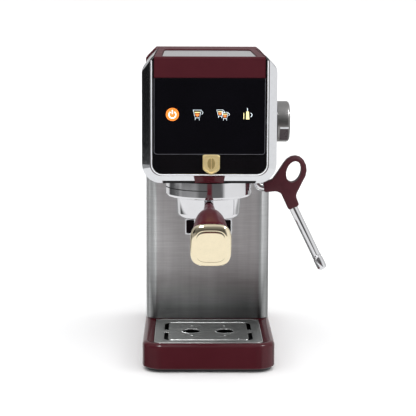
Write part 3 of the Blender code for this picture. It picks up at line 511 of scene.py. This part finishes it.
def make_glass_edge():
    """Polished edge of the glass, drawn as a fine grey line of painted highlight round it."""
    low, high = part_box("display_glass")
    middle = (low[0] + high[0]) / 2
    corner, width, depth, raise_by = 0.003, 0.0005, 0.0002, 0.00015

    def outline(inset):
        half = (high[0] - low[0]) / 2 - inset
        radius = corner - inset / 2
        bottom = low[2] + inset
        path = [(-half, high[2])] + arc(-half + radius, bottom + radius, radius, 180, 270, CORNER_STEPS)
        path += arc(half - radius, bottom + radius, radius, 270, 360, CORNER_STEPS) + [(half, high[2])]
        return [(middle - MIDDLE + x, z) for x, z in path]

    flat_mark("glass_edge", outline(0.0) + outline(width)[::-1], PAINTED_EDGE_HIGHLIGHT, depth, raise_by)


def make_bezel_lip():
    """Thin lip round the bezel's inner edge, down both sides and across the bottom, in bright silver as a
    painted highlight.
    """
    half, bottom, corner = 0.0630, 0.2108, 0.0118
    behind_front, lip_radius = 0.0098, 0.00075
    heights = (0.335, 0.300, 0.262)
    path = [(-half, z) for z in heights]
    path += arc(-half + corner, bottom + corner, corner, 180, 270, 8)
    path += arc(half - corner, bottom + corner, corner, 270, 360, 8)
    path += [(half, z) for z in reversed(heights)]
    points = [at(x, behind_front, z) for x, z in path]
    loops = []
    for i, point in enumerate(points):
        run = (points[min(i + 1, len(points) - 1)] - points[max(i - 1, 0)]).normalized()
        side = Vector((-run.z, 0, run.x))
        loops.append([point + side * (lip_radius * u) + Vector((0, lip_radius * v, 0))
                      for u, v in arc(0, 0, 1.0, 0, 315, 7)])
    # The lip's bright silver is a painted highlight on the real rounded lip.
    piece("bezel_lip", loft(loops), PAINTED_HIGHLIGHT_SILVER, BODY_OF["bezel_insert"])


# Name, half width, half height, how far it stands out and material. The frame's bright silver is a painted
# highlight on the spout's edges, and the dark inset is painted shade in its outlet.
SPOUT_PANELS = (("frame", 0.0057, 0.0090, 0.0004, PAINTED_HIGHLIGHT_SILVER),
                ("inset", 0.0044, 0.0077, 0.0006, MATERIALS["gloss_black"]))


def make_spout_insets():
    """Dark panel of painted shade on the front of each leg of the spout, in a thin frame of painted
    highlight; both stand out a little.
    """
    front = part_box("spout")[0][1]
    leg_centre, leg_height, corner, sunk = 0.0206, 0.1466, 0.0016, 0.0004
    for side in (-1, 1):
        centre = at(side * leg_centre, 0.0, leg_height)
        for name, half, tall, proud, material in SPOUT_PANELS:
            outline = round_rect(half, tall, corner)
            loops = [[Vector((centre.x + x, y, centre.z + z)) for x, z in outline]
                     for y in (front - proud, front + sunk)]
            piece("spout_" + name + "_" + str(side + 1), loft(loops), material, BODY_OF["spout"])


# The rolled edge's section as (inset from the grid's outline, rise above its top).
GRID_EDGE_SECTION = ((0.0016, -0.0006), (0.0016, 0.0002), (0.0012, 0.0005), (0.0006, 0.0005),
                     (0.0002, 0.0002), (0.0001, -0.0006))


def make_grid_edge():
    """Bright rolled edge round the drip grid."""
    low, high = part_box("drip_grid")
    corner = 0.0090
    centre = Vector(((low[0] + high[0]) / 2, (low[1] + high[1]) / 2, high[2]))
    half_x, half_y = (high[0] - low[0]) / 2, (high[1] - low[1]) / 2
    rings = []
    for inset, rise in GRID_EDGE_SECTION:
        outline = round_rect(half_x - inset, half_y - inset, corner)
        rings.append([centre + Vector((x, y, rise)) for x, y in outline])
    piece("grid_edge", loft(rings, True), FLAT_STEEL, BODY_OF["drip_grid"])


def make_notch_shade():
    """Black plate behind the notch under the head, in front of the brew head: painted shade that stands in
    for the dark of the notch.
    """
    low, high = at(-0.0505, 0.0180, 0.2006), at(0.0505, 0.0186, 0.2042)
    corners = [(low.x, low.z), (high.x, low.z), (high.x, high.z), (low.x, high.z)]
    shape = loft([[Vector((x, y, z)) for x, z in corners] for y in (low.y, high.y)])
    piece("notch_shade", shape, MATERIALS["black_plastic"], BODY_OF["head_shell"])


# The badge's lower curve as (share of the half width, rise above the tip).
BADGE_CURVE = ((0.97, 0.0062), (0.82, 0.0042), (0.50, 0.0021))
# Each half bean's section as (inset from its outline, depth behind the badge's front).
BEAN_SECTION = ((0.0, 0.0007), (0.0003, 0.0003), (0.0010, 0.0001))


def make_badge():
    """Gold shield with a raised rim and a plain coffee bean in it."""
    low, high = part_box("badge")
    half = (high[0] - low[0]) / 2
    centre = (high[0] + low[0]) / 2
    front, back = low[1], high[1]
    top, tip = high[2], low[2]
    shoulder = tip + 0.0078
    chamfer_x, chamfer_z, swell = 0.0016, 0.0012, 0.00015
    tip_thickening = 1.2

    def outline(inset):
        side = half - inset
        crown = top - inset
        points = [(side, shoulder), (side, crown - chamfer_z), (side - chamfer_x, crown)]
        points += [(0.0, crown + swell)]
        points += [(-side + chamfer_x, crown), (-side, crown - chamfer_z), (-side, shoulder)]
        points += [(-side * out, tip + rise + inset) for out, rise in BADGE_CURVE]
        points += [(0.0, tip + inset * tip_thickening)]
        points += [(side * out, tip + rise + inset) for out, rise in reversed(BADGE_CURVE)]
        return points

    steps = ((0.0, back), (0.0, front + 0.0005), (0.0004, front), (0.0013, front), (0.0017, front + 0.0007))
    loops = [[Vector((centre + x, y, z)) for x, z in outline(inset)] for inset, y in steps]
    badge = piece("badge_skin", loft(loops), BADGE_GOLD, BODY_OF["badge"])
    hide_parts("badge")
    make_bean(centre, front, (top + tip) / 2 + 0.0012)


def make_bean(centre, front, middle):
    """The coffee bean's two halves, with the crease between them."""
    half_x, half_z, half_crease = 0.0036, 0.0060, 0.0005
    curve = arc(0.0, 0.0, 1.0, 90, 270, 14)
    for side in (-1, 1):
        bean = []
        for inset, depth in BEAN_SECTION:
            bean.append([Vector((centre + side * (half_crease - (half_x - inset) * u), front + depth,
                                 middle + (half_z - inset) * v)) for u, v in curve])
        piece("badge_bean_" + str(side + 1), loft(bean), BEAN_GOLD, BODY_OF["badge"])


def bead(name, path, half_width, height, material, body, slot):
    """A low raised line on a level surface, along a path of points."""
    sunk = -0.0002
    section = ((-half_width, sunk), (-half_width, 0.0), (-half_width / 2, height),
               (half_width / 2, height), (half_width, 0.0), (half_width, sunk))
    loops = []
    for i, point in enumerate(path):
        run = (path[min(i + 1, len(path) - 1)] - path[max(i - 1, 0)]).normalized()
        side = Vector((-run.y, run.x, 0))
        loops.append([point + side * across + Vector((0, 0, rise)) for across, rise in section])
    piece(name, loft(loops), material, body)


def rings_about(middle, section, end, steps):
    """Circles about a point, from (radius, rise) steps."""
    return [[middle + Vector((x, y, rise)) for x, y in arc(0, 0, radius, 0, end, steps)]
            for radius, rise in section]


# The half width and height of the grid's raised lines.
GRID_LINE = (0.0007, 0.0004)
# Sections as (radius, rise above the grid).
RIM_SECTION = ((0.0100, -0.0004), (0.0101, 0.0002), (0.0106, 0.0004), (0.0113, 0.0002), (0.0118, -0.0001))
DIMPLE_SECTION = ((0.0016, -0.0001), (0.0014, 0.0002), (0.0009, 0.00045), (0.0003, 0.0005))


def make_grid_details():
    """Raised line between the slots, drawn rims round the holes and small dimples."""
    refine("drip_grid", 0.0005, 2, FLAT_STEEL)
    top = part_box("drip_grid")[1][2]
    body, slot = BODY_OF["drip_grid"], SLOT_OF["drip_grid"]
    centre = at(0.0, 0.062, 0.0)
    centre.z = top
    for end in (-1, 1):
        path = arc(0.0394, 0.0325, 0.0080, 60, 90, 4) + arc(-0.0394, 0.0325, 0.0080, 90, 120, 4)
        points = [centre + Vector((x, end * y, 0)) for x, y in path]
        bead("grid_line_" + str(end + 1), points, *GRID_LINE, FLAT_STEEL, body, slot)
        side_line = [centre + Vector((end * 0.0474, y, 0)) for y in (-0.005, 0.005)]
        bead("grid_side_" + str(end + 1), side_line, *GRID_LINE, FLAT_STEEL, body, slot)
        rim = rings_about(centre + Vector((end * 0.0193, 0, 0)), RIM_SECTION, 352.5, 47)
        piece("grid_rim_" + str(end + 1), loft(rim, True), FLAT_STEEL, body)
    spots = [(x, y) for x in (-0.033, -0.0187, 0.0187, 0.033) for y in (-0.0375, 0.0440)]
    spots += [(x, y) for x in (-0.0187, 0.0187) for y in (-0.0195, 0.0245)]
    for number, (x, y) in enumerate(spots):
        dome = rings_about(centre + Vector((x, y, 0)), DIMPLE_SECTION, 337.5, 15)
        piece("grid_dimple_" + str(number), loft(dome), FLAT_STEEL, body)


def rounded_square(half, squareness):
    """Points of a rounded square about the origin."""
    count = 48
    points = []
    for i in range(count):
        angle = 2 * math.pi * i / count
        across = math.copysign(abs(math.cos(angle)) ** (2 / squareness), math.cos(angle))
        rise = math.copysign(abs(math.sin(angle)) ** (2 / squareness), math.sin(angle))
        points.append((half * across, half * rise))
    return points


def sloping(fall_degrees):
    """Directions forward and down along a slope, and across it, from how far it falls."""
    fall = math.radians(fall_degrees)
    return (Vector((0, -math.cos(fall), -math.sin(fall))), Vector((0, math.sin(fall), -math.cos(fall))))


# How far the handle falls towards its end, and how far along it the cap starts.
HANDLE_FALL = 11.3
CAP_START = 0.118
# The cap's outline as (distance from its start, half size).
CAP_PROFILE = (
    (0.0003, 0.0200), (0.0012, 0.0216), (0.0030, 0.0224), (0.0050, 0.0226), (0.0066, 0.0220),
    (0.0078, 0.0207), (0.0086, 0.0190), (0.0091, 0.0176), (0.0092, 0.0169), (0.0091, 0.0167),
    (0.0091, 0.0165), (0.0093, 0.0162), (0.0095, 0.0154), (0.0096, 0.0134), (0.0096, 0.0020),
)
CAP_WIDTH_SHARE, CAP_HEIGHT_SHARE = 0.935, 1.015


def make_gold_cap():
    """Gold cap with a rounded rim, a fine groove and a slightly raised face."""
    reach, up = sloping(HANDLE_FALL)
    start = at(0.0, 0.026, 0.1765) + reach * CAP_START
    loops = []
    for along, half in CAP_PROFILE:
        squareness = 3.6 if half > 0.012 else 3.0
        middle = start + reach * along
        loops.append([middle + Vector((CAP_WIDTH_SHARE * x, 0, 0)) + up * (CAP_HEIGHT_SHARE * z)
                      for x, z in rounded_square(half, squareness)])
    cap = piece("handle_cap_skin", loft(loops), MATERIALS["champagne_gold"], BODY_OF["handle_cap"])
    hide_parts("handle_cap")
    # The cap stays out of the chrome's reflections, where it made a gold blob on the bowl.
    cap.visible_glossy = False
    cap.data.set_sharp_from_angle(angle=math.radians(70))


SMOOTH_NODES = ("handle", "group_collar", "portafilter_body", "steam_tube", "steam_nozzle", "wand_grip",
                "wand_nut")


def make_smooth_nodes():
    """Stand-ins for the round pieces."""
    for node in SMOOTH_NODES:
        made = refine(node, material=SPECIAL_MATERIALS.get(node))
        if node == "handle":
            subdivision = made.modifiers.new("smooth", "SUBSURF")
            subdivision.levels = 2
            subdivision.render_levels = 2


# How far the knob's facet falls away, and how far its face starts and ends from the knob's axis.
FACET_FALL = 38
FACET_INNER, FACET_OUTER = 0.0202, 0.0207
# Name, start and end across the facet, and material: the face is painted shade with a burgundy painted
# reflection, the line a painted highlight on the polished edge.
FACET_PARTS = (("face", -0.0078, 0.0092, FACET_PAINTED_SHADE), ("line", -0.0101, -0.0080, PAINTED_HIGHLIGHT_SILVER))


def make_knob_facet():
    """Face of the knob's finger facet in painted shade with a burgundy painted reflection, and a painted
    highlight along its polished front edge.
    """
    out, along = sloping(FACET_FALL)
    low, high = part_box("steam_knob")
    axis = Vector((0, (low[1] + high[1]) / 2, (low[2] + high[2]) / 2))
    for name, start, end, material in FACET_PARTS:
        section = ((FACET_INNER, start), (FACET_OUTER, start), (FACET_OUTER, end), (FACET_INNER, end))
        loops = [[axis + Vector((x, 0, 0)) + out * lift + along * side for lift, side in section]
                 for x in (low[0] + 0.0050, high[0] - 0.0018)]
        piece("knob_" + name, loft(loops), material, BODY_OF["steam_knob"])


def make_valve_spring():
    """The outlet valve's spring, refined and given a mesh of its own."""
    spring = refine("valve_spring")
    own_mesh(spring)


# The seam's section as (distance outside the collar, rise from the seam's height).
SEAM_SECTION = ((-0.0004, -0.0006), (0.00012, -0.0005), (0.00012, 0.0005), (-0.0004, 0.0006))
# How far up the collar the seam runs, as a share of the collar's height.
SEAM_SHARE = 0.56


def make_collar_seam():
    """Dark joint line round the left of the group's collar."""
    low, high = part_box("group_collar")
    radius = (high[0] - low[0]) / 2
    centre = at(0.0, 0.060, 0.0)
    height = low[2] + (high[2] - low[2]) * SEAM_SHARE
    loops = [[Vector((centre.x + (radius + out) * u, centre.y + (radius + out) * v, height + rise))
              for out, rise in SEAM_SECTION] for u, v in arc(0, 0, 1.0, 190, 268, 30)]
    piece("collar_seam", loft(loops), MATERIALS["black_rubber"], BODY_OF["group_collar"])


# ---------------------------------------------------------------- studio

def make_floor():
    """Wide white floor that the shadows fall on."""
    shape = bmesh.new()
    corners = [(-30, -3), (30, -3), (30, 60), (-30, 60)]
    shape.faces.new([shape.verts.new((x, y, 0.0)) for x, y in corners])
    mesh = bpy.data.meshes.new("floor")
    shape.to_mesh(mesh)
    shape.free()
    white = surface("floor_white", (0.97, 0.97, 0.97), 0.9, scale=4.0, tint=0.005, swing=0.02,
                    specular=0.0)
    mesh.materials.append(white)
    floor = bpy.data.objects.new("floor", mesh)
    bpy.context.collection.objects.link(floor)
    floor.visible_glossy = False


def soft_box(name, place, target, size, watts):
    """A square softbox that faces a point and gives highlights only."""
    data = bpy.data.lights.new(name, "AREA")
    data.shape = "SQUARE"
    data.size = size
    data.energy = watts
    lamp = bpy.data.objects.new(name, data)
    bpy.context.collection.objects.link(lamp)
    lamp.visible_diffuse = False
    lamp.location = place
    lamp.rotation_euler = (Vector(target) - Vector(place)).to_track_quat("-Z", "Y").to_euler()


# The surroundings' greys as (turn, grey) stops. Turn runs from the back (0) by the left (0.25), the
# front (0.5) and the right (0.75) to the back (1).
BELT = ((0.0, 0.64), (0.12, 0.62), (0.16, 0.05), (0.20, 0.05), (0.23, 0.55), (0.275, 0.50), (0.29, 0.012),
        (0.36, 0.012), (0.39, 0.13), (0.50, 0.09), (0.585, 0.08), (0.625, 0.85), (0.74, 0.85), (0.80, 0.55),
        (1.0, 0.64))
LOW_BELT = ((0.0, 0.80), (0.12, 0.75), (0.145, 0.06), (0.18, 0.10), (0.25, 0.15), (0.27, 0.32),
            (0.40, 0.34), (0.43, 0.14), (0.485, 0.13), (0.60, 0.14), (0.625, 0.85), (0.81, 0.85),
            (0.87, 0.35), (1.0, 0.80))
# Where the low belt holds a burgundy streak, which stands in for the handle's reflection.
STREAK = ((0.0, 0.0), (0.483, 0.0), (0.491, 1.0), (0.518, 1.0), (0.526, 0.0), (1.0, 0.0))
STREAK_COLOUR = (0.11, 0.012, 0.020, 1.0)
# How much of each zone shows at each height, from straight down (0) to straight up (1).
LOWER = ((0.0, 1.0), (0.4305, 1.0), (0.4335, 0.0), (1.0, 0.0))
BELOW = ((0.0, 1.0), (0.310, 1.0), (0.335, 0.0), (1.0, 0.0))
ABOVE = ((0.0, 0.0), (0.55, 0.0), (0.80, 0.30), (0.95, 0.75), (1.0, 1.0))
BELOW_COLOUR = (0.92, 0.92, 0.92, 1.0)
ABOVE_COLOUR = (0.70, 0.70, 0.71, 1.0)
BACKDROP_COLOUR = (1.0, 1.0, 1.0, 1.0)


def make_world():
    """Grey surroundings for the reflections, behind a white backdrop for the camera."""
    world = bpy.data.worlds.new("studio")
    bpy.context.scene.world = world
    world.use_nodes = True
    tree = world.node_tree
    background = tree.nodes["Background"]
    place = tree.nodes.new("ShaderNodeTexCoord")
    split = tree.nodes.new("ShaderNodeSeparateXYZ")
    link(tree, place, "Generated", split, "Vector")
    side, depth, rise = split.outputs
    around = math_node(tree, "ARCTAN2", side, math_node(tree, "MULTIPLY", depth, -1.0))
    turn = math_node(tree, "ADD", math_node(tree, "DIVIDE", around, 2 * math.pi), 0.5)
    height = math_node(tree, "ADD", math_node(tree, "MULTIPLY", rise, 0.5), 0.5)
    plain_low_belt = ramp_node(tree, turn, LOW_BELT)
    low_belt = mix_node(tree, ramp_node(tree, turn, STREAK), plain_low_belt, STREAK_COLOUR)
    belts = mix_node(tree, ramp_node(tree, height, LOWER), ramp_node(tree, turn, BELT), low_belt)
    grounded = mix_node(tree, ramp_node(tree, height, BELOW), belts, BELOW_COLOUR)
    studio = mix_node(tree, ramp_node(tree, height, ABOVE), grounded, ABOVE_COLOUR)
    seen = tree.nodes.new("ShaderNodeLightPath").outputs["Is Camera Ray"]
    tree.links.new(mix_node(tree, seen, studio, BACKDROP_COLOUR), background.inputs["Color"])
    background.inputs["Strength"].default_value = 1.0


def make_lights():
    """Broad daylight from above for the shadows, and a soft box on each side for highlights."""
    data = bpy.data.lights.new("ceiling", "SUN")
    data.energy = 2.4
    data.angle = math.radians(110)
    ceiling = bpy.data.objects.new("ceiling", data)
    bpy.context.collection.objects.link(ceiling)
    ceiling.rotation_euler = (math.radians(18), 0, 0)
    ceiling.visible_glossy = False
    target = (0, 0, 0.15)
    soft_box("left_light", (-0.50, -1.10, 1.60), target, 0.45, 26)
    soft_box("right_light", (1.10, -0.60, 1.50), target, 0.34, 14)


def make_camera():
    """Camera in front, a little above the machine and looking slightly down."""
    data = bpy.data.cameras.new("camera")
    data.sensor_width = 36.0
    data.lens = 118.66
    data.shift_y = -0.08
    camera = bpy.data.objects.new("camera", data)
    bpy.context.collection.objects.link(camera)
    camera.location = at(-0.0240, -1.4692, 0.4073)
    pitch, yaw, roll = 0.13189, 0.01521, 0.00398
    ahead = Vector((math.sin(yaw) * math.cos(pitch), math.cos(yaw) * math.cos(pitch), -math.sin(pitch)))
    camera.rotation_euler = ahead.to_track_quat("-Z", "Y").to_euler()
    camera.rotation_euler.rotate_axis("Z", roll)
    bpy.context.scene.camera = camera
    bpy.context.scene.view_settings.view_transform = "Standard"


make_rounded_nodes()
make_smooth_nodes()
make_display_marks()
make_glass_edge()
make_bezel_lip()
make_spout_insets()
make_grid_edge()
make_notch_shade()
paint_column_light_and_shade()
make_badge()
make_gold_cap()
make_grid_details()
make_collar_seam()
make_valve_spring()
make_knob_facet()
OWN_PIECES = {"badge", "drip_grid", "handle_cap", "valve_spring"}
finish_plain_nodes(set(ROUNDED_NODES) | set(SMOOTH_NODES) | OWN_PIECES)
make_floor()
make_world()
make_lights()
make_camera()
